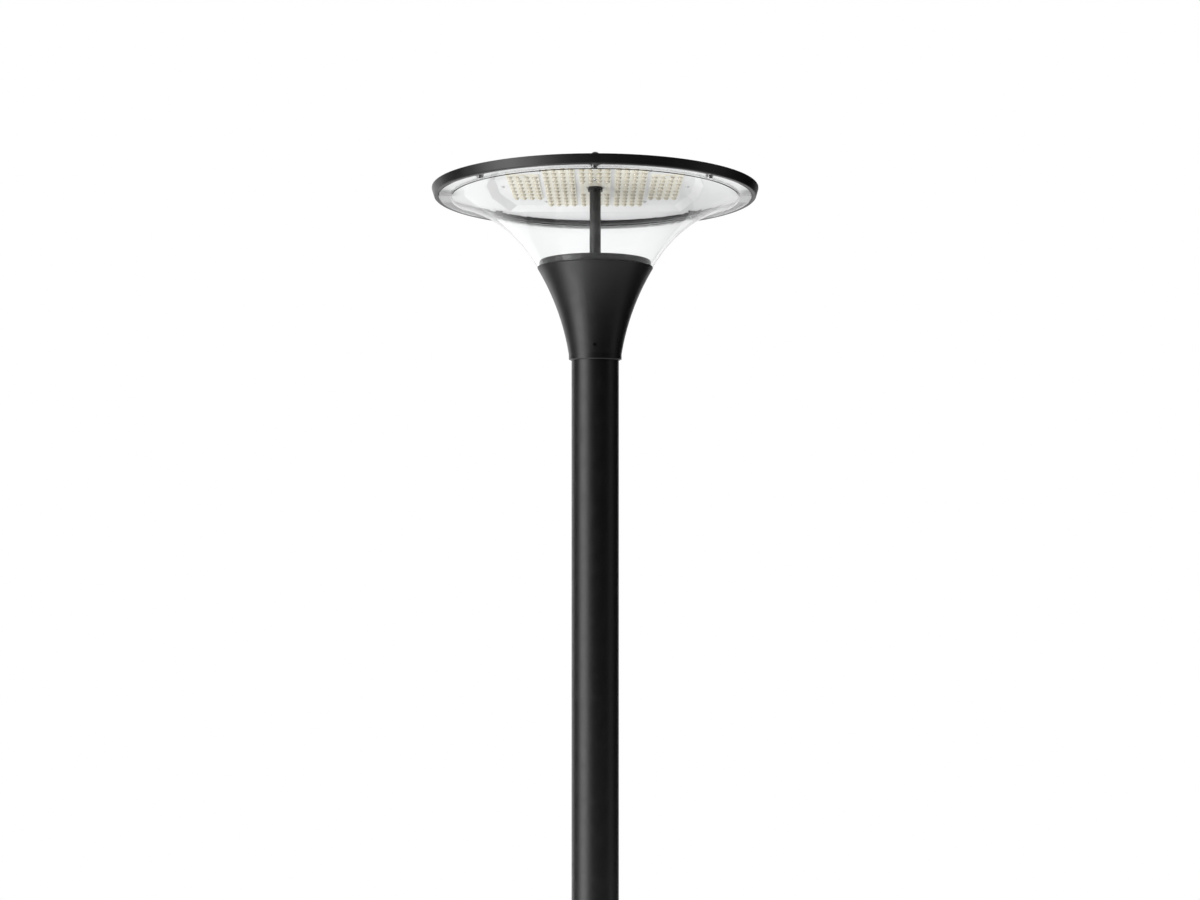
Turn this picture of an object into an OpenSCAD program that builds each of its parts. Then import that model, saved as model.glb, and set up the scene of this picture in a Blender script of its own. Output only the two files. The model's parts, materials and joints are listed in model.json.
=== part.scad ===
// Garden post light: a flat round LED head on a clear bell and a trumpet neck,
// slipped over a plain tubular post with a bolted base plate.
// Millimetres, +Z up, front towards -Y.
// The origin is the centre of the base plate's underside, at ground level.

/* [Base plate] */
// Side of the square base plate
plate_w = 240; // [200:1:320]
// Thickness of the base plate
plate_t = 14; // [10:1:20]
// Corner radius of the base plate
plate_corner_r = 14; // [6:1:20]
// Distance between neighbouring anchor holes
anchor_spacing = 180; // [150:1:190]
// Diameter of each anchor hole
anchor_hole_d = 18; // [12:1:24]
// Diameter of the cable hole through the plate
cable_hole_d = 56; // [30:1:64]
// Leg of the weld between the plate and the post
weld_leg = 6; // [3:1:10]

/* [Post] */
// Height of the post's top end above the ground
post_top_z = 3000; // [2200:10:4500]
// Outer diameter of the post
post_d = 76; // [64:1:84]
// Wall thickness of the post
post_wall = 3; // [2:0.5:5]

/* [Service door] */
// Height of the door's centre above the ground
door_z = 600; // [400:10:1200]
// Width of the door opening
door_w = 46; // [36:1:50]
// Height of the door opening
door_h = 190; // [140:1:300]
// Gap all round the door
door_gap = 0.8; // [0.5:0.1:1.5]
// Distance between the two door screws
door_screw_pitch = 140; // [90:1:150]
// Diameter of a door screw's shank
door_screw_d = 6; // [4:0.5:8]
// Width of the strap behind the door
strap_w = 24; // [18:1:30]
// Thickness of the strap behind the door
strap_t = 4; // [3:0.5:6]
// Length by which the strap passes the opening at each end
strap_lap = 20; // [12:1:30]

/* [Neck] */
// Depth of the socket over the post's top end
socket_depth = 60; // [40:1:90]
// Radial clearance between the post and the socket
socket_clear = 0.4; // [0.3:0.1:1]
// Height of the neck casting
neck_h = 148; // [130:1:180]
// Distance from the post's surface to the neck's lower outer edge
neck_foot_t = 3; // [3:0.5:8]
// Diameter of the neck's upper lip
neck_lip_d = 186; // [170:1:200]
// Radius of the neck's trumpet curve
neck_flare_r = 387; // [300:1:500]
// Wall thickness of the neck casting
neck_wall = 4; // [3:0.5:6]
// Radius of the opening in the neck's upper lip
neck_mouth_r = 78; // [60:1:80]
// Height of the set screws above the neck's lower edge
set_screw_z = 22; // [14:1:30]
// Diameter of each set screw
set_screw_d = 6; // [4:1:8]
// Number of set screws round the neck
set_screw_n = 3; // [3:1:3]

/* [Lid and stem] */
// Thickness of the gasket on the neck's lip
gasket_t = 0.8; // [0.5:0.1:2]
// Gap between the lid and the bell's foot round it
lid_gap = 0.8; // [0.4:0.1:3]
// Height of the lid
lid_h = 10.8; // [8:0.1:16]
// Wall thickness of the lid
lid_wall = 3.5; // [2.5:0.5:5]
// Diameter of the stem
stem_d = 18; // [14:1:24]
// Wall thickness of the stem round its wire bore
stem_wall = 3.5; // [2:0.5:5]
// Diameter of the threaded top end of the stem
stem_stud_d = 12; // [10:1:12]
// Amount by which the collar under the LED tray stands out from the stem
collar_t = 3; // [2:0.5:6]
// Height of the collar under the LED tray
collar_h = 7.5; // [5:0.5:10]
// Radial clearance round the stem in its holes
stem_clear = 0.15; // [0.1:0.05:0.3]

/* [Clear bell] */
// Amount by which the bell's foot is set in from the neck's lip
bell_foot_inset = 0.4; // [0.2:0.1:2]
// Wall thickness of the bell
bell_wall = 2.2; // [2:0.1:3]
// Radius of the bell's trumpet curve
bell_flare_r = 221; // [190:1:260]
// Height from the bell's foot to the underside of its flange
bell_h = 108.6; // [90:0.2:130]
// Width of the bell's flange
flange_w = 18.5; // [16:0.5:26]
// Height of the step from the curve up to the flange
bell_step = 2; // [1.5:0.1:3]
// Thickness of the bell's flange
flange_t = 3.2; // [2.4:0.1:4]
// Distance from the flange's edge to the bell screws
bell_screw_inset = 10.5; // [8:0.5:12]
// Diameter of a bell screw's shank
bell_screw_d = 4; // [3:0.5:5]
// Number of places round the flange; those beside the two clips take no screw
bell_screw_n = 8; // [4:1:16]

/* [Head] */
// Outer diameter of the head
head_d = 520; // [500:1:640]
// Height of the rim's outer wall
rim_h = 13.6; // [11:0.2:20]
// Amount by which the rim tapers in at its lower edge
rim_draft = 3.3; // [1:0.1:5]
// Thickness of the rim's wall at its upper edge
rim_wall = 9.5; // [8:0.5:12]
// Gap between the bell's flange and the rim's wall
flange_gap = 1; // [0.5:0.1:2]
// Diameter of the lugs that the bell screws hold
lug_d = 12; // [10:1:14]
// Slope of the top cover's flank in degrees
cover_slope = 13.2; // [12:0.1:16]
// Radius at which the cover's flank meets its rounded crown
crown_r = 120; // [80:1:140]
// Thickness of the top cover
cover_t = 1.8; // [1.2:0.1:2]

/* [Light unit] */
// Thickness of the white reflector plate
reflector_t = 1; // [0.8:0.1:1.2]
// Gap between the reflector plate's edge and the rim's wall
reflector_gap = 4.5; // [4:0.1:8]
// Depth of the tray in the reflector plate
tray_depth = 9; // [6:0.5:9.5]
// Distance from the outer LED boards to the tray's side
tray_side_margin = 20; // [16:1:22]
// Distance from the middle LED boards' ends to the tray's end
tray_end_margin = 8; // [2:1:10]
// Amount by which the tray is narrower on each side at its two ends
tray_taper = 21; // [16:1:30]
// Half length of the tray's straight sides
tray_side_half_l = 51; // [20:1:70]
// Run of the tray's sloping edge
tray_slope_run = 14; // [8:1:16]
// Gap between neighbouring LED boards
board_gap = 6; // [2:0.5:8]
// Width of one LED board
board_w = 50; // [40:1:51]
// Length of the three middle LED boards
board_long = 292; // [240:1:296]
// Length of the two outer LED boards
board_short = 182; // [150:1:190]
// Thickness of an LED board
board_t = 1.6; // [1:0.1:2.5]
// Width of the clips over the bell's flange
clip_w = 52; // [40:1:60]
// Reach of the clips over the bell's flange
clip_reach = 19; // [14:1:19]

/* [Hidden] */
$fn = 128;
// length by which a cutting shape passes the faces that it cuts
over = 1;
// gap left at a seat whose two faces are curved or only locate each other
seat_gap = 0.3;

// Post and service door
post_r = post_d / 2;
post_bore_r = post_r - post_wall;
strap_l = door_h + 2 * strap_lap;
// the strap's outer face reaches the bore at the strap's two edges
strap_y = sqrt(pow(post_bore_r, 2) - pow(strap_w / 2, 2)) - seat_gap;
screw_clear = 0.2;
door_screw_head_d = 2 * door_screw_d;
door_screw_head_h = 0.5 * door_screw_d;
door_screw_socket_h = 2;

// Neck
neck_z = post_top_z - socket_depth;
neck_top_z = neck_z + neck_h;
socket_r = post_r + socket_clear;
sleeve_r = socket_r + neck_wall;
socket_stop_t = 4;
socket_stop_r = post_bore_r - 1;
neck_solid_h = 40;
neck_edge = 1.5;
lip_t = 4;
set_screw_socket_d = set_screw_d / 2;
set_screw_socket_h = 2.5;
neck_foot_r = post_r + neck_foot_t;
neck_lip_r = neck_lip_d / 2;
neck_centre = flare_centre([neck_foot_r, 0], [neck_lip_r, neck_h], neck_flare_r);

// Lid, stem and bell
lid_z = neck_top_z + gasket_t;
lid_round = 2.5;
lid_boss_r = stem_d / 2 + 5;
stem_bore_d = stem_d - 2 * stem_wall;
collar_d = stem_d + 2 * collar_t;
lid_boss_drop = 8;
collar_bevel = 2;
stem_bore_end = 4;
side_hole_drop = 10;
gasket_r_in = neck_mouth_r + 4;
bell_foot_r = neck_lip_r - bell_foot_inset;
gasket_r_out = bell_foot_r - 0.4;
rim_bore_r = head_d / 2 - rim_wall;
flange_r = rim_bore_r - flange_gap;
bell_mouth_r = flange_r - flange_w;
bell_screw_r = flange_r - bell_screw_inset;
flange_z = lid_z + bell_h;
flange_top_z = flange_z + flange_t;
bell_centre = flare_centre([bell_foot_r, 0], [bell_mouth_r, bell_h - bell_step], bell_flare_r);
// the lid stands inside the bell's foot
lid_r = flare_radius(bell_centre, bell_flare_r + bell_wall, 0) - lid_gap;
bell_screw_hole_d = bell_screw_d + 1.2;
bell_screw_head_d = 2.3 * bell_screw_d;
bell_screw_head_h = 0.6 * bell_screw_d;
// the screws end this far below the tops of their lugs
bell_screw_short = 1.5;

// Head
head_r = head_d / 2;
rim_z = flange_z;
rim_top_z = rim_z + rim_h;
rim_edge = 1.2;
lug_web_t = 7;
lug_bite = 2;

// Light unit
reflector_r = rim_bore_r - reflector_gap;
tray_z = rim_top_z + tray_depth;
board_pitch = board_w + board_gap;
tray_t = 1.2;
board_count = 5;
tray_half_w = (board_count - 1) / 2 * board_pitch + board_w / 2 + tray_side_margin;
tray_half_l = board_long / 2 + tray_end_margin;
board_corner_r = 2;
stem_hole_r = stem_d / 2 + stem_clear;
board_stem_hole_r = collar_d / 2 + 2;
clip_t = 3;
clip_leg_t = 2.5;
clip_round_r = 4;
// least distance between a clip and a lug
clip_gap = 2;

// Top cover
cover_rise = (head_r - crown_r) * tan(cover_slope);
crown_ball_r = crown_r / sin(cover_slope);
crown_top = cover_rise + crown_ball_r * (1 - cos(cover_slope));
cover_drop = cover_t / cos(cover_slope);
// the flank clears the tray's outermost corner; where it alone would not,
// the cover stands higher, on an upright skirt
tray_corner_r = max([for (corner = tray_outline(tray_t)) norm(corner)]);
flank_room = (head_r - tray_corner_r) * tan(cover_slope) - cover_drop;
cover_lift = max(0, tray_depth + tray_t + seat_gap - flank_room);
cover_top = cover_lift + crown_top;
cover_top_z = rim_top_z + cover_top;
boss_r = 18;
boss_h = 1.2;
shoulder_drop = 18;
shoulder_z = cover_top_z - shoulder_drop;
stud_rise = 12;
stud_top_z = cover_top_z + boss_h + stud_rise;
washer_r = 15;
washer_t = 1.5;
nut_af = 19;
nut_hex_h = 6;
nut_ball_r = 8.5;
nut_z = cover_top_z + boss_h + washer_t;

// Centre of an arc of radius r that runs outwards and up from p to q and
// opens away from the axis, as a trumpet's outline does
function flare_centre(p, q, r) =
    let (
        chord = q - p,
        half = norm(chord) / 2,
        rise = sqrt(r * r - half * half)
    )
    (p + q) / 2 + rise * [chord[1], -chord[0]] / norm(chord);

// Radius of a trumpet outline at height z
function flare_radius(centre, r, z) = centre[0] - sqrt(r * r - pow(z - centre[1], 2));

// The tray's eight-sided outline, grown by g
function tray_outline(g) =
    let (
        w = tray_half_w + g,
        e = tray_half_w - tray_taper + g,
        l = tray_half_l + g,
        s = tray_side_half_l
    )
    [[w, s], [e, l], [-e, l], [-w, s], [-w, -s], [-e, -l], [e, -l], [w, -s]];

// Cylinder on the axis from height a to height b
module cylinder_span(r, a, b) {
    translate([0, 0, a])
        cylinder(r = r, h = b - a);
}

// Half profile of a round boss of radius r from height a to height b
module boss_profile(r, a, b) {
    translate([0, a])
        square([r, b - a]);
}

// Rectangle with rounded corners, centred on the origin
module round_rect(size, r) {
    square([size[0] - 2 * r, size[1]], center = true);
    square([size[0], size[1] - 2 * r], center = true);
    for (sx = [-1, 1], sy = [-1, 1])
        translate([sx * (size[0] / 2 - r), sy * (size[1] / 2 - r)])
            circle(r);
}

// Flat ring
module ring(r_in, r_out, h) {
    difference() {
        cylinder(r = r_out, h = h);
        translate([0, 0, -over])
            cylinder(r = r_in, h = h + 2 * over);
    }
}

module base_plate() {
    color("black") {
        difference() {
            linear_extrude(plate_t)
                round_rect([plate_w, plate_w], plate_corner_r);
            for (sx = [-1, 1], sy = [-1, 1])
                translate([sx * anchor_spacing / 2, sy * anchor_spacing / 2, -over])
                    cylinder(d = anchor_hole_d, h = plate_t + 2 * over);
            translate([0, 0, -over])
                cylinder(d = cable_hole_d, h = plate_t + 2 * over);
        }
        // the weld round the post
        rotate_extrude()
            translate([post_r, plate_t])
                polygon([[0, 0], [weld_leg, 0], [0, weld_leg]]);
    }
}

// Bar through the back wall with the outline of the door opening, shrunk by gap
module door_bar(gap) {
    w = door_w - 2 * gap;
    translate([0, 0, door_z])
        rotate([-90, 0, 0])
            linear_extrude(2 * post_r) {
                square([w, door_h - door_w], center = true);
                for (s = [-1, 1])
                    translate([0, s * (door_h - door_w) / 2])
                        circle(d = w);
            }
}

module post_tube() {
    color("black")
        difference() {
            translate([0, 0, plate_t])
                ring(post_bore_r, post_r, post_top_z - plate_t);
            door_bar(0);
        }
}

// Holes for the two door screws
module door_screw_holes() {
    for (s = [-1, 1])
        translate([0, 0, door_z + s * door_screw_pitch / 2])
            rotate([-90, 0, 0])
                cylinder(d = door_screw_d + 2 * screw_clear, h = 2 * post_r);
}

module service_door() {
    color("black")
        difference() {
            intersection() {
                translate([0, 0, door_z - door_h / 2])
                    ring(post_bore_r, post_r, door_h);
                door_bar(door_gap);
            }
            door_screw_holes();
        }
}

module door_strap() {
    color("silver")
        difference() {
            translate([-strap_w / 2, strap_y - strap_t, door_z - strap_l / 2])
                cube([strap_w, strap_t, strap_l]);
            door_screw_holes();
        }
}

module door_screw(s) {
    color("silver")
        translate([0, 0, door_z + s * door_screw_pitch / 2])
            rotate([-90, 0, 0])
                difference() {
                    union() {
                        cylinder_span(door_screw_d / 2, strap_y - strap_t, post_r + door_screw_head_h);
                        cylinder_span(door_screw_head_d / 2, post_r, post_r + door_screw_head_h);
                    }
                    translate([0, 0, post_r + door_screw_head_h - door_screw_socket_h])
                        cylinder(d = door_screw_d / 2, h = door_screw_socket_h + over, $fn = 6);
                }
}

// Everything inside the neck's trumpet curve, set in by t
module neck_inside(t) {
    difference() {
        square([neck_lip_r, neck_h]);
        translate(neck_centre)
            circle(neck_flare_r + t, $fn = 720);
    }
}

module neck_profile() {
    cavity_h = neck_h - lip_t - neck_solid_h;
    difference() {
        neck_inside(0);
        // hollow between the sleeve and the outer wall
        intersection() {
            neck_inside(neck_wall);
            translate([0, neck_solid_h])
                square([neck_lip_r, cavity_h]);
        }
        square([socket_r, neck_h]);
        translate([0, neck_h - lip_t - over])
            square([neck_mouth_r, lip_t + 2 * over]);
        // small bevels at the lower edge and at the lip
        translate([neck_foot_r, 0])
            rotate(45)
                square(neck_edge * sqrt(2), center = true);
        translate([neck_lip_r, neck_h])
            rotate(45)
                square(neck_edge, center = true);
    }
    // sleeve over the post, and the stop that rests on the post's end
    translate([socket_r, neck_edge])
        square([sleeve_r - socket_r, socket_depth + socket_stop_t - neck_edge]);
    translate([socket_stop_r, socket_depth])
        square([sleeve_r - socket_stop_r, socket_stop_t]);
}

function set_screw_angle(i) = -90 + 360 * (i - 1) / set_screw_n;

module neck_casting() {
    color("black")
        translate([0, 0, neck_z])
            difference() {
                rotate_extrude()
                    neck_profile();
                for (i = [1 : set_screw_n])
                    rotate([0, 0, set_screw_angle(i)])
                        translate([post_r, 0, set_screw_z])
                            rotate([0, 90, 0])
                                cylinder(d = set_screw_d + 2 * screw_clear, h = neck_lip_r - post_r);
            }
}

// Grub screw from just off the post to just inside the neck's surface
module set_screw(i) {
    screw_l = flare_radius(neck_centre, neck_flare_r, set_screw_z) - post_r - seat_gap;
    color("dimgray")
        translate([0, 0, neck_z + set_screw_z])
            rotate([0, 0, set_screw_angle(i)])
                translate([post_r + seat_gap / 2, 0, 0])
                    rotate([0, 90, 0])
                        difference() {
                            cylinder(d = set_screw_d, h = screw_l);
                            translate([0, 0, screw_l - set_screw_socket_h])
                                cylinder(d = set_screw_socket_d, h = set_screw_socket_h + over, $fn = 6);
                        }
}

module neck_gasket() {
    color("dimgray")
        translate([0, 0, neck_top_z])
            ring(gasket_r_in, gasket_r_out, gasket_t);
}

module neck_lid() {
    color("black")
        translate([0, 0, lid_z])
            rotate_extrude()
                difference() {
                    union() {
                        square([lid_r - lid_round, lid_h]);
                        square([lid_r, lid_h - lid_round]);
                        translate([lid_r - lid_round, lid_h - lid_round])
                            circle(lid_round);
                        translate([0, -lid_boss_drop])
                            square([lid_boss_r, lid_boss_drop + over]);
                    }
                    // hollow underside round the boss
                    translate([lid_boss_r, -over])
                        square([lid_r - lid_wall - lid_boss_r, lid_h - lid_wall + over]);
                    translate([0, -lid_boss_drop - over])
                        square([stem_hole_r, lid_boss_drop + lid_h + 2 * over]);
                }
}

module centre_stem() {
    foot_z = lid_z - lid_boss_drop;
    color("black")
        difference() {
            union() {
                translate([0, 0, foot_z])
                    cylinder(d = stem_d, h = shoulder_z - foot_z);
                cylinder_span(stem_stud_d / 2, shoulder_z - over, stud_top_z);
            }
            cylinder_span(stem_bore_d / 2, foot_z - over, shoulder_z - stem_bore_end);
            // side hole that lets the wires out above the tray
            translate([0, 0, shoulder_z - side_hole_drop])
                rotate([0, 90, 0])
                    cylinder(d = stem_bore_d / 2, h = stem_d);
        }
}

module stem_collar() {
    color("black")
        translate([0, 0, tray_z - collar_h])
            difference() {
                union() {
                    cylinder(d = collar_d, h = collar_h - collar_bevel);
                    translate([0, 0, collar_h - collar_bevel])
                        cylinder(d1 = collar_d, d2 = collar_d - 2 * collar_bevel, h = collar_bevel);
                }
                translate([0, 0, -over])
                    cylinder(r = stem_hole_r, h = collar_h + 2 * over);
            }
}

// Wall of the bell: the band between two arcs about the same centre
module bell_profile() {
    curve_top = bell_h - bell_step;
    intersection() {
        translate(bell_centre)
            difference() {
                circle(bell_flare_r + bell_wall, $fn = 720);
                circle(bell_flare_r, $fn = 720);
            }
        square([bell_mouth_r, bell_h + flange_t]);
    }
    translate([bell_mouth_r - bell_wall, curve_top])
        square([bell_wall, bell_step + flange_t]);
    translate([bell_mouth_r - bell_wall, bell_h])
        square([flange_r - bell_mouth_r + bell_wall, flange_t]);
}

// True where a lug at angle a from the front stands clear of the clips at the sides
function clear_of_clips(a) = abs(bell_screw_r * cos(a)) > (clip_w + lug_d) / 2 + clip_gap;

// Repeats its children round the circle of bell screws, but not at the two clips
module at_bell_screws() {
    for (a = [0 : 360 / bell_screw_n : 359])
        if (clear_of_clips(a))
            rotate([0, 0, a])
                translate([0, -bell_screw_r, 0])
                    children();
}

module clear_bell() {
    color("white", 0.3)
        difference() {
            translate([0, 0, lid_z])
                rotate_extrude()
                    bell_profile();
            at_bell_screws()
                translate([0, 0, flange_z - over])
                    cylinder(d = bell_screw_hole_d, h = flange_t + 2 * over);
        }
}

module bell_screws() {
    color("silver")
        at_bell_screws() {
            cylinder_span(bell_screw_head_d / 2, flange_z - bell_screw_head_h, flange_z);
            cylinder_span(bell_screw_d / 2, flange_z - bell_screw_head_h, rim_top_z - bell_screw_short);
        }
}

// Clip over the bell's flange with a leg up the rim's wall; side is -1 or 1
module bell_clip(side) {
    wall_x = sqrt(pow(rim_bore_r, 2) - pow(clip_w / 2, 2)) - seat_gap;
    clip_z = flange_top_z + seat_gap;
    color("gray")
        mirror([side < 0 ? 1 : 0, 0, 0]) {
            translate([wall_x - clip_reach / 2, 0, clip_z])
                linear_extrude(clip_t)
                    round_rect([clip_reach, clip_w], clip_round_r);
            translate([wall_x - clip_leg_t, -clip_w / 2 + clip_round_r, clip_z])
                cube([clip_leg_t, clip_w - 2 * clip_round_r, rim_top_z - clip_z]);
        }
}

module rim_ring() {
    low_r = head_r - rim_draft;
    lug_z = flange_top_z + seat_gap;
    web_l = rim_bore_r + lug_bite - bell_screw_r;
    color("black")
        difference() {
            union() {
                translate([0, 0, rim_z])
                    rotate_extrude()
                        polygon([
                            [rim_bore_r, 0],
                            [low_r - rim_edge, 0],
                            [low_r, rim_edge],
                            [head_r, rim_h - rim_edge],
                            [head_r, rim_h],
                            [rim_bore_r, rim_h]
                        ]);
                // lugs for the bell screws, each on a web from the wall
                at_bell_screws() {
                    translate([0, 0, lug_z])
                        cylinder(d = lug_d, h = rim_top_z - lug_z);
                    translate([-lug_web_t / 2, -web_l, lug_z])
                        cube([lug_web_t, web_l, rim_top_z - lug_z]);
                }
            }
            at_bell_screws()
                translate([0, 0, flange_top_z])
                    cylinder(
                        d = bell_screw_d + screw_clear,
                        h = rim_top_z - flange_top_z - bell_screw_short / 2
                    );
        }
}

module reflector_plate() {
    color("white")
        translate([0, 0, rim_top_z])
            difference() {
                cylinder(r = reflector_r, h = reflector_t);
                translate([0, 0, -over])
                    linear_extrude(reflector_t + 2 * over)
                        polygon(tray_outline(tray_slope_run));
            }
}

// Sloping edge and flat top of the tray that carries the LED boards
module led_tray() {
    inner_run = tray_slope_run - seat_gap - tray_t;
    skin = 0.01;
    color("white")
        difference() {
            hull() {
                translate([0, 0, rim_top_z])
                    linear_extrude(reflector_t)
                        polygon(tray_outline(tray_slope_run - seat_gap));
                translate([0, 0, tray_z])
                    linear_extrude(tray_t)
                        polygon(tray_outline(tray_t));
            }
            hull() {
                translate([0, 0, rim_top_z - over])
                    linear_extrude(over)
                        polygon(tray_outline(inner_run));
                translate([0, 0, tray_z - skin])
                    linear_extrude(skin)
                        polygon(tray_outline(0));
            }
            cylinder_span(stem_hole_r, tray_z - over, tray_z + tray_t + over);
        }
}

module led_board(i) {
    place = i - (board_count + 1) / 2;
    length = abs(place) < board_count / 2 - 1 ? board_long : board_short;
    color("ivory")
        translate([0, 0, tray_z - board_t])
            difference() {
                translate([place * board_pitch, 0, 0])
                    linear_extrude(board_t)
                        round_rect([board_w, length], board_corner_r);
                cylinder_span(board_stem_hole_r, -over, board_t + over);
            }
}

// Solid shape under the top cover's surface, from far below the rim's top upwards
module cover_hump() {
    translate([0, cover_lift])
        intersection() {
            polygon([
                [0, -2 * crown_top],
                [head_r, -2 * crown_top],
                [head_r, 0],
                [crown_r, cover_rise],
                [0, cover_rise + crown_r * tan(cover_slope)]
            ]);
            translate([0, crown_top - crown_ball_r])
                union() {
                    circle(crown_ball_r, $fn = 720);
                    translate([crown_r, -2 * crown_ball_r])
                        square([head_r, 4 * crown_ball_r]);
                }
        }
}

module top_cover() {
    color("black")
        translate([0, 0, rim_top_z])
            difference() {
                rotate_extrude() {
                    difference() {
                        cover_hump();
                        // the hollow, which leaves any skirt its thickness
                        intersection() {
                            translate([0, -cover_drop])
                                cover_hump();
                            translate([0, -over])
                                square([head_r - cover_t, cover_top + over]);
                        }
                        translate([0, -3 * cover_top])
                            square([head_r + over, 3 * cover_top]);
                    }
                    // from the stem's shoulder up to the flat seat for the washer
                    boss_profile(boss_r, shoulder_z - rim_top_z, cover_top + boss_h);
                }
                cylinder_span(stem_stud_d / 2 + stem_clear, 0, 2 * cover_top);
            }
}

module top_washer() {
    color("silver")
        translate([0, 0, cover_top_z + boss_h])
            ring(stem_stud_d / 2 + stem_clear, washer_r, washer_t);
}

module cap_nut() {
    color("silver")
        difference() {
            union() {
                translate([0, 0, nut_z])
                    cylinder(d = nut_af / cos(30), h = nut_hex_h, $fn = 6);
                translate([0, 0, nut_z + nut_hex_h])
                    sphere(nut_ball_r);
            }
            translate([0, 0, nut_z - 2 * nut_ball_r])
                cylinder(r = 2 * nut_ball_r, h = 2 * nut_ball_r);
            cylinder_span(stem_stud_d / 2 + stem_clear, nut_z - over, stud_top_z + seat_gap);
        }
}

base_plate();
post_tube();
door_strap();
service_door();
door_screw(-1);  // door_screw_lower
door_screw(1);  // door_screw_upper
neck_casting();
set_screw(1);  // set_screw_1
set_screw(2);  // set_screw_2
set_screw(3);  // set_screw_3
neck_gasket();
neck_lid();
centre_stem();
stem_collar();
clear_bell();
bell_screws();
bell_clip(-1);  // bell_clip_left
bell_clip(1);  // bell_clip_right
rim_ring();
reflector_plate();
led_tray();
led_board(1);  // led_board_1
led_board(2);  // led_board_2
led_board(3);  // led_board_3
led_board(4);  // led_board_4
led_board(5);  // led_board_5
top_cover();
top_washer();
cap_nut();
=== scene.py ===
"""Looks of the garden post light: materials for its CAD pieces, the LED lenses and
small fittings that the CAD model leaves out, a studio and a camera. Metres, +Z up, front -Y."""
import json
import math

import bmesh
import bpy
from mathutils import Matrix, Vector


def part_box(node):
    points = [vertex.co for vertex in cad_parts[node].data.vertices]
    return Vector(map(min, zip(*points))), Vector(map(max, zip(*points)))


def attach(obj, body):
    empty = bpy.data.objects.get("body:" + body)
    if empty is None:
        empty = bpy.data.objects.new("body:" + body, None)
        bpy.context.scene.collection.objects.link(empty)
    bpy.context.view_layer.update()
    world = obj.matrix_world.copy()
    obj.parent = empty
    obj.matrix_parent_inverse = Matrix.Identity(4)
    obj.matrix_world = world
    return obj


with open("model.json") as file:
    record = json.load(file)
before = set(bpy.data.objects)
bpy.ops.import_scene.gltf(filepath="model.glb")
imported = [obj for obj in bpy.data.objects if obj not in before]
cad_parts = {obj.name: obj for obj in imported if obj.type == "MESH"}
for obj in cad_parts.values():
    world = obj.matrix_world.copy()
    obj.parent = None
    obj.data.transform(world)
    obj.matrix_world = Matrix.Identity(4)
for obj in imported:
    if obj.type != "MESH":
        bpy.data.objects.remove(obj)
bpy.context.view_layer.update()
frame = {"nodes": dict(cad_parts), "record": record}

scene = bpy.context.scene
NODES = frame["nodes"]
MM = 0.001

# ---------------------------------------------------------------- camera

CAMERA_BACK = 2.005     # in front of the post's axis
CAMERA_RIGHT = 0.0077
CAMERA_DROP = 0.1437    # below the neck's lower edge
CAMERA_LENS = 37.47
CAMERA_SENSOR = 36.0


def add_camera():
    neck_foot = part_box("neck_casting")[0].z
    data = bpy.data.cameras.new("camera")
    data.lens = CAMERA_LENS
    data.sensor_width = CAMERA_SENSOR
    camera = bpy.data.objects.new("camera", data)
    camera.location = (CAMERA_RIGHT, -CAMERA_BACK, neck_foot - CAMERA_DROP)
    camera.rotation_euler = (math.radians(90), 0, 0)
    scene.collection.objects.link(camera)
    scene.camera = camera


# ---------------------------------------------------------------- node helpers

class Tree:
    """A node tree with short calls: add() makes a node, and a socket given as a value is linked."""

    def __init__(self, tree):
        self.tree = tree
        self.tree.nodes.clear()

    def add(self, kind, inputs=None, **settings):
        node = self.tree.nodes.new(kind)
        for key, value in settings.items():
            setattr(node, key, value)
        for key, value in (inputs or {}).items():
            if isinstance(value, bpy.types.NodeSocket):
                self.tree.links.new(value, node.inputs[key])
            else:
                node.inputs[key].default_value = value
        return node

    def math(self, operation, a, b=0.0, clamp=False):
        return self.add("ShaderNodeMath", {0: a, 1: b}, operation=operation, use_clamp=clamp).outputs[0]

    def between(self, value, low, high, to_low=0.0, to_high=1.0):
        """value, mapped smoothly from low..high to to_low..to_high."""
        inputs = {"Value": value, "From Min": low, "From Max": high, "To Min": to_low, "To Max": to_high}
        return self.add("ShaderNodeMapRange", inputs, interpolation_type="SMOOTHSTEP").outputs[0]

    def noise(self, scale, detail=2.0, rough=0.5, stretch=None):
        """Noise in the object's own metres, so scale is in waves a metre."""
        where = self.add("ShaderNodeTexCoord").outputs["Object"]
        if stretch:
            where = self.add("ShaderNodeMapping", {"Vector": where, "Scale": stretch}).outputs[0]
        inputs = {"Vector": where, "Scale": scale, "Detail": detail, "Roughness": rough}
        return self.add("ShaderNodeTexNoise", inputs).outputs[0]

    def blend(self, factor, a, b):
        node = self.add("ShaderNodeMix", {"Factor": factor}, data_type="RGBA")
        for socket, value in ((node.inputs[6], a), (node.inputs[7], b)):
            if isinstance(value, bpy.types.NodeSocket):
                self.tree.links.new(value, socket)
            else:
                socket.default_value = (*value, 1.0)
        return node.outputs[2]

    def bump(self, height, strength, distance, normal=None):
        inputs = {"Height": height, "Strength": strength, "Distance": distance}
        if normal is not None:
            inputs["Normal"] = normal
        return self.add("ShaderNodeBump", inputs).outputs[0]

    def finish(self, surface, kind="ShaderNodeOutputMaterial"):
        self.tree.links.new(surface, self.add(kind).inputs["Surface"])


def new_material(name):
    material = bpy.data.materials.new(name)
    material.use_nodes = True
    return material, Tree(material.node_tree)


def finish_material(material, tree, **inputs):
    """Ends the tree in one Principled shader. Names use _ for the sockets' spaces."""
    named = {key.replace("_", " "): value for key, value in inputs.items()}
    tree.finish(tree.add("ShaderNodeBsdfPrincipled", named).outputs[0])
    return material


# ---------------------------------------------------------------- materials

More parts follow.
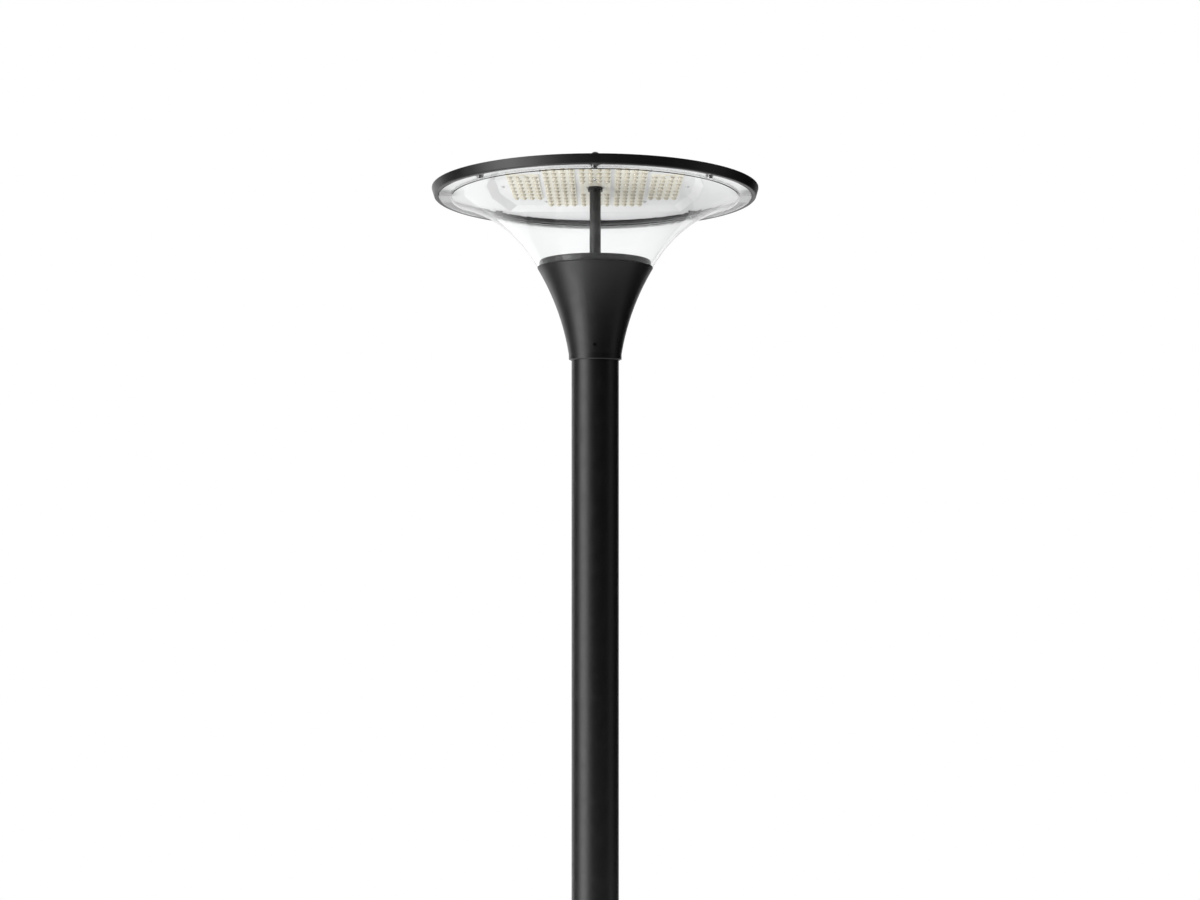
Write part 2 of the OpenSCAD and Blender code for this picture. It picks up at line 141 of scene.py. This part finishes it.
def powder_coat(name, black, dust, grain):
    """Satin black powder coat: a fine grain over a slow orange peel, with dust on what faces up."""
    material, t = new_material(name)
    patchy = t.noise(26.0, 3.0)
    normal = t.add("ShaderNodeNewGeometry").outputs["Normal"]
    facing_up = t.add("ShaderNodeSeparateXYZ", {0: normal}).outputs[2]
    specks = t.between(t.noise(70.0, 5.0, 0.65), 0.35, 0.8)
    settled = t.math("MULTIPLY", t.between(facing_up, 0.55, 1.0), specks)
    coat = t.blend(patchy, [c * 0.8 for c in black], [c * 1.25 for c in black])
    colour = t.blend(t.math("MULTIPLY", settled, 0.5), coat, dust)
    peel = t.bump(t.noise(260.0, 2.0), 0.10, 0.4 * MM)
    dulled = t.math("ADD", t.noise(55.0, 3.0), t.math("MULTIPLY", settled, 0.6))
    rough = t.between(dulled, 0.3, 1.2, 0.40, 0.56)
    return finish_material(
        material, t, Base_Color=colour, Roughness=rough,
        Normal=t.bump(t.noise(grain, 1.0), 0.22, 0.12 * MM, peel), IOR=1.5)


def brushed_metal(name, tone, rough, stretch):
    """Plated or machined steel with fine turning marks along one direction."""
    material, t = new_material(name)
    marks = t.noise(900.0, 3.0, 0.6, stretch)
    stain = t.noise(120.0, 3.0)
    colour = t.blend(t.between(stain, 0.35, 0.75), tone, [c * 0.78 for c in tone])
    roughness = t.between(marks, 0.3, 0.7, rough - 0.07, rough + 0.09)
    return finish_material(
        material, t, Base_Color=colour, Roughness=roughness, Metallic=1.0,
        Normal=t.bump(marks, 0.18, 0.05 * MM))


def rubber(name):
    material, t = new_material(name)
    mottled = t.noise(300.0, 4.0, 0.6)
    return finish_material(
        material, t, Base_Color=t.blend(mottled, (0.016, 0.016, 0.017), (0.034, 0.033, 0.032)),
        Roughness=t.between(mottled, 0.3, 0.7, 0.72, 0.88), Normal=t.bump(mottled, 0.25, 0.1 * MM))


def clear_plastic(name):
    """Clear moulded plastic: nearly smooth, with a slow waviness from the mould. Its bending and
    mirroring of light are set weaker than real plastic's."""
    material, t = new_material(name)
    wave = t.bump(t.noise(14.0, 1.0), 0.015, 1.2 * MM)
    return finish_material(
        material, t, Base_Color=t.blend(t.noise(9.0), (0.965, 0.975, 0.975), (0.985, 0.99, 0.99)),
        Roughness=t.between(t.noise(180.0, 4.0, 0.65), 0.45, 0.85, 0.01, 0.05),
        Normal=wave, IOR=1.18, Specular_IOR_Level=0.12, Transmission_Weight=1.0)


def moulded(name, tone, rough):
    material, t = new_material(name)
    speckle = t.noise(700.0, 2.0)
    return finish_material(
        material, t, Base_Color=t.blend(t.noise(90.0), [c * 0.88 for c in tone], [c * 1.1 for c in tone]),
        Roughness=t.between(speckle, 0.3, 0.7, rough - 0.06, rough + 0.08),
        Normal=t.bump(speckle, 0.15, 0.08 * MM))


def gloss_white(name):
    """Satin white stove paint on pressed sheet, a little uneven."""
    material, t = new_material(name)
    tone = t.blend(t.noise(16.0, 3.0), (0.76, 0.765, 0.77), (0.83, 0.83, 0.825))
    rough = t.between(t.noise(60.0, 3.0), 0.3, 0.7, 0.42, 0.54)
    sheet = t.bump(t.noise(14.0, 1.0), 0.05, 0.8 * MM)
    return finish_material(
        material, t, Base_Color=tone, Roughness=rough,
        Normal=t.bump(t.noise(420.0, 2.0), 0.06, 0.15 * MM, sheet), IOR=1.5)


def solder_mask(name, column_pitch):
    """Cream solder mask with a warm copper track under each column of LEDs."""
    material, t = new_material(name)
    place = t.add("ShaderNodeSeparateXYZ", {0: t.add("ShaderNodeTexCoord").outputs["Object"]})
    across = t.math("PINGPONG", place.outputs[0], column_pitch / 2)
    track = t.between(across, 0.30 * column_pitch, 0.36 * column_pitch)
    cross = t.between(t.math("PINGPONG", place.outputs[1], 6.625 * MM), 5.9 * MM, 6.3 * MM)
    copper = t.math("MAXIMUM", track, t.math("MULTIPLY", cross, 0.55))
    mask = t.blend(t.noise(70.0, 3.0), (0.80, 0.77, 0.66), (0.86, 0.83, 0.73))
    return finish_material(
        material, t, Base_Color=t.blend(t.math("MULTIPLY", copper, 0.5), mask, (0.76, 0.70, 0.50)),
        Roughness=t.between(t.noise(500.0), 0.3, 0.7, 0.30, 0.42),
        Normal=t.bump(copper, 0.35, 0.1 * MM), IOR=1.5)


def led_lens(name, base_z, tip_z):
    """Lens over a phosphor chip: amber at its foot, paler towards the tip."""
    material, t = new_material(name)
    height = t.add("ShaderNodeSeparateXYZ", {0: t.add("ShaderNodeTexCoord").outputs["Object"]}).outputs[2]
    pale = t.between(height, base_z, tip_z)
    tint = t.blend(t.noise(420.0), (0.44, 0.39, 0.28), (0.52, 0.45, 0.34))
    return finish_material(
        material, t, Base_Color=t.blend(pale, tint, (0.64, 0.61, 0.51)),
        Roughness=t.between(t.noise(900.0), 0.3, 0.7, 0.12, 0.22), IOR=1.5, Coat_Weight=0.3)


# ---------------------------------------------------------------- mesh helpers

def add_piece(name, mesh_maker, material, smooth_angle=35.0):
    """Makes a mesh object from mesh_maker(bm), shades it by angle and lets it ride on the post."""
    mesh = bpy.data.meshes.new(name)
    bm = bmesh.new()
    mesh_maker(bm)
    bmesh.ops.remove_doubles(bm, verts=bm.verts, dist=0.005 * MM)
    bmesh.ops.recalc_face_normals(bm, faces=bm.faces)
    bm.to_mesh(mesh)
    bm.free()
    mesh.shade_smooth()
    mesh.set_sharp_from_angle(angle=math.radians(smooth_angle))
    mesh.materials.append(material)
    piece = bpy.data.objects.new(name, mesh)
    scene.collection.objects.link(piece)
    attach(piece, "root")
    return piece


def lathe(bm, profile, sides, place=Matrix.Identity(4)):
    """Turns (radius, height) points about the local Z axis; a radius of 0 closes to one point."""
    rings = []
    for radius, height in profile:
        if radius == 0:
            rings.append([bm.verts.new(place @ Vector((0, 0, height)))])
            continue
        ring = []
        for i in range(sides):
            a = 2 * math.pi * i / sides
            ring.append(bm.verts.new(place @ Vector((radius * math.cos(a), radius * math.sin(a), height))))
        rings.append(ring)
    for lower, upper in zip(rings, rings[1:]):
        for i in range(sides):
            j = (i + 1) % sides
            corners = [lower[i % len(lower)], lower[j % len(lower)]]
            corners += [upper[j % len(upper)], upper[i % len(upper)]]
            bm.faces.new(list(dict.fromkeys(corners)))


def arc(centre, radius, start, end, steps):
    """Points on an arc of the profile plane, angles in degrees from +radius towards +height."""
    points = []
    for i in range(steps + 1):
        a = math.radians(start + (end - start) * i / steps)
        points.append((centre[0] + radius * math.cos(a), centre[1] + radius * math.sin(a)))
    return points


def bevelled_box(bm, centre, size, bevel):
    """Box with all edges rounded."""
    placed = Matrix.Translation(centre) @ Matrix.Diagonal((*size, 1))
    made = bmesh.ops.create_cube(bm, size=1.0, matrix=placed)
    edges = {e for v in made["verts"] for e in v.link_edges}
    bmesh.ops.bevel(bm, geom=list(edges), offset=bevel, segments=2, profile=0.5, affect="EDGES")


# ---------------------------------------------------------------- light unit details

COLUMN_PITCH = 13.0 * MM
COLUMNS = 4
ROW_PITCH = 26.5 * MM
ROW_MARGIN = 11.0 * MM      # from the last row's centre to the board's end, at least
STEM_KEEP_OUT = 33.0 * MM   # rows nearer the stem are left out on the centre board
LENS_R = 3.75 * MM
LENS_H = 4.8 * MM
LENS_CROWN = 0.8            # the height of a lens's rounded tip as a share of its radius
LENS_SIDES = 14


def led_places(board):
    """Centres of the LEDs under one board."""
    low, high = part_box(board)
    middle = (low + high) / 2
    rows = int(((high.y - low.y) / 2 - ROW_MARGIN) / ROW_PITCH)
    for row in range(-rows, rows + 1):
        y = row * ROW_PITCH
        if abs(middle.x) < COLUMN_PITCH and abs(y) < STEM_KEEP_OUT:
            continue
        for column in range(COLUMNS):
            x = middle.x + (column - (COLUMNS - 1) / 2) * COLUMN_PITCH
            yield Vector((x, y, low.z))


def add_leds(board, lens_material, body_material):
    """Ceramic LED bodies and the lenses over them, hanging from one board."""
    places = list(led_places(board))

    def lenses(bm):
        foot = 0.7 * MM
        foot_r = LENS_R + 0.5 * MM
        shoulder = LENS_H - LENS_CROWN * LENS_R
        cap = [(r, -shoulder - LENS_CROWN * h) for r, h in arc((0, 0), LENS_R * 0.94, 0, 90, 4)]
        cap[-1] = (0, cap[-1][1])
        profile = [(0, 0), (foot_r, 0), (foot_r, -foot), (LENS_R, -foot)] + cap
        for place in places:
            lathe(bm, profile, LENS_SIDES, Matrix.Translation(place))

    def bodies(bm):
        side = 2 * LENS_R + 2.6 * MM
        thick = 0.5 * MM
        for place in places:
            centre = place - Vector((0, 0, thick / 2))
            bevelled_box(bm, centre, (side, side * 0.9, thick), 0.12 * MM)

    number = board.rsplit("_", 1)[1]
    add_piece("led_lenses_" + number, lenses, lens_material)
    add_piece("led_bodies_" + number, bodies, body_material)


def pan_screw(bm, place, radius, height):
    """Pan head hanging from place, with a washer and a round socket."""
    washer = 0.5 * MM
    ring = [(0, 0), (radius * 1.35, 0), (radius * 1.35, -washer), (0, -washer)]
    lathe(bm, ring, 20, Matrix.Translation(place))
    crown = [(r, -washer - h) for r, h in arc((radius * 0.55, height * 0.35), radius * 0.45, 0, 90, 4)]
    crown = [(r, max(h, -washer - height)) for r, h in crown]
    floor = -washer - height * 0.45
    socket = [(radius * 0.42, -washer - height), (radius * 0.42, floor), (0, floor)]
    lathe(bm, [(0, -washer), (radius, -washer)] + crown + socket, 18, Matrix.Translation(place))


def add_tray_screws(material):
    """Screws of the tray and the boards: between the boards, at the tray's sides, on the centre board."""
    low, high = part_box("led_board_2")
    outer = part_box("led_board_1")
    board_gap_x = (low.x + outer[1].x) / 2
    tray_z = high.z
    side_x = outer[0].x - 11 * MM
    long_y = high.y * 0.81
    centre_y = 66.25 * MM
    tray_places = [Vector((sx * board_gap_x, sy * long_y, tray_z)) for sx in (-1, 1) for sy in (-1, 1)]
    tray_places += [Vector((sx * side_x, 0, tray_z)) for sx in (-1, 1)]
    board_places = [Vector((0, sy * centre_y, low.z)) for sy in (-1, 1)]

    def screws(bm):
        for place in tray_places + board_places:
            pan_screw(bm, place, 2.6 * MM, 1.8 * MM)

    add_piece("tray_screws", screws, material)


def add_connectors(material):
    """Wire connectors at the front end of each board, with their two contact slots."""
    boards = [name for name in sorted(NODES) if name.startswith("led_board_")]

    def blocks(bm):
        for board in boards:
            low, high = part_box(board)
            centre = Vector(((low.x + high.x) / 2, low.y + 4 * MM, low.z - 1.4 * MM))
            bevelled_box(bm, centre, (9 * MM, 5 * MM, 2.8 * MM), 0.4 * MM)
            for side in (-1, 1):
                pin = centre + Vector((side * 2.2 * MM, 1.2 * MM, -1.1 * MM))
                bevelled_box(bm, pin, (2.4 * MM, 2.4 * MM, 1.2 * MM), 0.2 * MM)

    add_piece("board_connectors", blocks, material)


# ---------------------------------------------------------------- post details

def add_weld(material):
    """Rippled weld bead round the post's foot, over the plate."""
    tube_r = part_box("post_tube")[1].x
    plate_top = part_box("post_tube")[0].z
    leg = 5.6 * MM
    root = 0.6 * MM     # how far the bead's inner corner lies inside the tube and the plate
    sides, across, ripples = 288, 6, 96

    def bead(bm):
        rings = []
        for i in range(sides):
            a = 2 * math.pi * i / sides
            ripple = 0.35 * MM * math.sin(ripples * a) + 0.2 * MM * math.sin(7 * a)
            ring = []
            for k in range(across + 1):
                b = math.radians(90 * k / across)
                bulge = leg * 0.82 + ripple * math.sin(2 * b) + 0.9 * MM
                r, z = tube_r - root + bulge * math.cos(b), plate_top - root + bulge * math.sin(b)
                ring.append(bm.verts.new((r * math.cos(a), r * math.sin(a), z)))
            inner = tube_r - root
            ring.append(bm.verts.new((inner * math.cos(a), inner * math.sin(a), plate_top - root)))
            rings.append(ring)
        count = across + 2
        for i in range(sides):
            this, other = rings[i], rings[(i + 1) % sides]
            for k in range(count):
                n = (k + 1) % count
                bm.faces.new((this[k], other[k], other[n], this[n]))

    add_piece("weld_bead", bead, material, 60.0)


# ---------------------------------------------------------------- studio

WHITE_SEEN = 1.0
FLOOR_R = 14.0
FLOOR_TONE = 0.84
FLOOR_NEAR, FLOOR_FAR = 1.0, 3.2    # radii between which the floor fades to the white backdrop
WORLD_LEVEL = 0.70


def seen_directly(t):
    """1 for the rays that show the background: the camera's, mirrored ones and those through glass."""
    path = t.add("ShaderNodeLightPath").outputs
    either = t.math("MAXIMUM", path["Is Camera Ray"], path["Is Glossy Ray"])
    return t.math("MAXIMUM", either, path["Is Transmission Ray"])


def add_world():
    world = bpy.data.worlds.new("studio")
    scene.world = world
    world.use_nodes = True
    t = Tree(world.node_tree)
    soft = t.add("ShaderNodeBackground", {"Color": (1, 1, 1, 1), "Strength": WORLD_LEVEL}).outputs[0]
    white = t.add("ShaderNodeBackground", {"Color": (1, 1, 1, 1), "Strength": WHITE_SEEN}).outputs[0]
    t.finish(t.add("ShaderNodeMixShader", {0: seen_directly(t), 1: soft, 2: white}).outputs[0],
             "ShaderNodeOutputWorld")


def add_floor():
    material, t = new_material("floor")
    place = t.add("ShaderNodeTexCoord").outputs["Object"]
    from_axis = t.add("ShaderNodeVectorMath", {0: place}, operation="LENGTH").outputs["Value"]
    far = t.between(from_axis, FLOOR_NEAR, FLOOR_FAR)
    tone = t.blend(t.noise(3.0), [FLOOR_TONE * 0.99] * 3, [FLOOR_TONE] * 3)
    matt = t.add("ShaderNodeBsdfDiffuse", {"Color": tone}).outputs[0]
    white = t.add("ShaderNodeEmission", {"Color": (1, 1, 1, 1), "Strength": WHITE_SEEN}).outputs[0]
    shown = t.math("MULTIPLY", far, seen_directly(t))
    t.finish(t.add("ShaderNodeMixShader", {0: shown, 1: matt, 2: white}).outputs[0])
    mesh = bpy.data.meshes.new("floor")
    bm = bmesh.new()
    bmesh.ops.create_circle(bm, cap_ends=True, radius=FLOOR_R, segments=96)
    bm.to_mesh(mesh)
    bm.free()
    mesh.materials.append(material)
    floor = bpy.data.objects.new("floor", mesh)
    floor.location.z = -0.5 * MM
    scene.collection.objects.link(floor)


def add_softbox(name, azimuth, distance, height, size, radiance, tilt=0):
    """Area lamp aimed at the axis, or up by tilt degrees. Azimuth is in degrees from the front, to the
    right if positive."""
    data = bpy.data.lights.new(name, "AREA")
    data.shape = "RECTANGLE"
    data.size, data.size_y = size
    data.energy = radiance * math.pi * size[0] * size[1]
    lamp = bpy.data.objects.new(name, data)
    a = math.radians(azimuth)
    lamp.location = (distance * math.sin(a), -distance * math.cos(a), height)
    lamp.rotation_euler = (math.radians(90 + tilt), 0, a)
    lamp.visible_camera = False
    scene.collection.objects.link(lamp)
    return lamp


def add_flag(name, start, end, radius, low, high):
    """Black studio cloth on an arc round the object. It darkens what the black coat mirrors, as in a
    photographer's studio, and shows in no view itself."""
    material, t = new_material(name)
    cloth = t.blend(t.noise(2.0), (0.004,) * 3, (0.008,) * 3)
    t.finish(t.add("ShaderNodeBsdfDiffuse", {"Color": cloth}).outputs[0])
    mesh = bpy.data.meshes.new(name)
    bm = bmesh.new()
    steps = max(2, int((end - start) / 5))
    columns = []
    for i in range(steps + 1):
        a = math.radians(start + (end - start) * i / steps)
        x, y = radius * math.sin(a), -radius * math.cos(a)
        columns.append((bm.verts.new((x, y, low)), bm.verts.new((x, y, high))))
    for left, right in zip(columns, columns[1:]):
        bm.faces.new((left[0], right[0], right[1], left[1]))
    bm.to_mesh(mesh)
    bm.free()
    mesh.materials.append(material)
    flag = bpy.data.objects.new(name, mesh)
    scene.collection.objects.link(flag)
    flag.visible_camera = False
    flag.visible_diffuse = False
    flag.visible_transmission = False
    flag.visible_shadow = False


def pass_light(node):
    """Lets lamps shine through a clear piece unshadowed, and diffuse light pass as if it weren't there."""
    bpy.data.objects[node].visible_shadow = False
    bpy.data.objects[node].visible_diffuse = False


def add_studio():
    add_world()
    add_floor()
    add_softbox("key_light", -60, 3.0, 2.3, (2.0, 4.6), 3.4)
    add_softbox("low_light", -60, 1.7, 0.3, (2.0, 2.6), 1.7, tilt=90)
    add_softbox("fill_light", 82, 3.0, 2.3, (1.0, 4.4), 0.45)
    add_softbox("back_light", 215, 3.0, 2.3, (1.6, 4.4), 0.5)
    add_flag("front_flag", -30, 150, 3.6, 0.02, 6.5)
    add_flag("left_flag", 232, 285, 3.6, 0.02, 6.5)


# ---------------------------------------------------------------- build

def make_materials():
    lens_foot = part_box("led_board_3")[0].z
    return {
        "post_coat": powder_coat("post_coat", (0.0025, 0.0025, 0.0026), (0.10, 0.097, 0.09), 1300.0),
        "head_coat": powder_coat("head_coat", (0.0025, 0.0025, 0.0026), (0.08, 0.078, 0.074), 1500.0),
        "zinc_steel": brushed_metal("zinc_steel", (0.60, 0.61, 0.62), 0.38, (1, 1, 0.08)),
        "stainless": brushed_metal("stainless", (0.62, 0.62, 0.62), 0.26, (1, 1, 4)),
        "dark_screw": brushed_metal("dark_screw", (0.05, 0.05, 0.052), 0.40, (1, 4, 1)),
        "gasket": rubber("gasket"),
        "clear_bell": clear_plastic("clear_bell"),
        "clip": moulded("clip", (0.20, 0.20, 0.205), 0.45),
        "reflector_white": gloss_white("reflector_white"),
        "led_board": solder_mask("led_board", COLUMN_PITCH),
        "led_lens": led_lens("led_lens", lens_foot, lens_foot - LENS_H),
        "white_plastic": moulded("white_plastic", (0.76, 0.75, 0.70), 0.38),
    }


def dress_nodes(materials):
    """Gives each CAD node the material of its slot in the record."""
    for part in frame["record"]["subparts"]:
        node = NODES[part["node"]]
        slot = part["material_slot"]
        node.material_slots[0].material = materials[slot]


add_camera()
materials = make_materials()
dress_nodes(materials)
for board in sorted(NODES):
    if board.startswith("led_board_"):
        add_leds(board, materials["led_lens"], materials["white_plastic"])
add_tray_screws(materials["stainless"])
add_connectors(materials["white_plastic"])
add_weld(materials["post_coat"])
add_studio()
scene.view_settings.view_transform = "Standard"

pass_light("clear_bell")
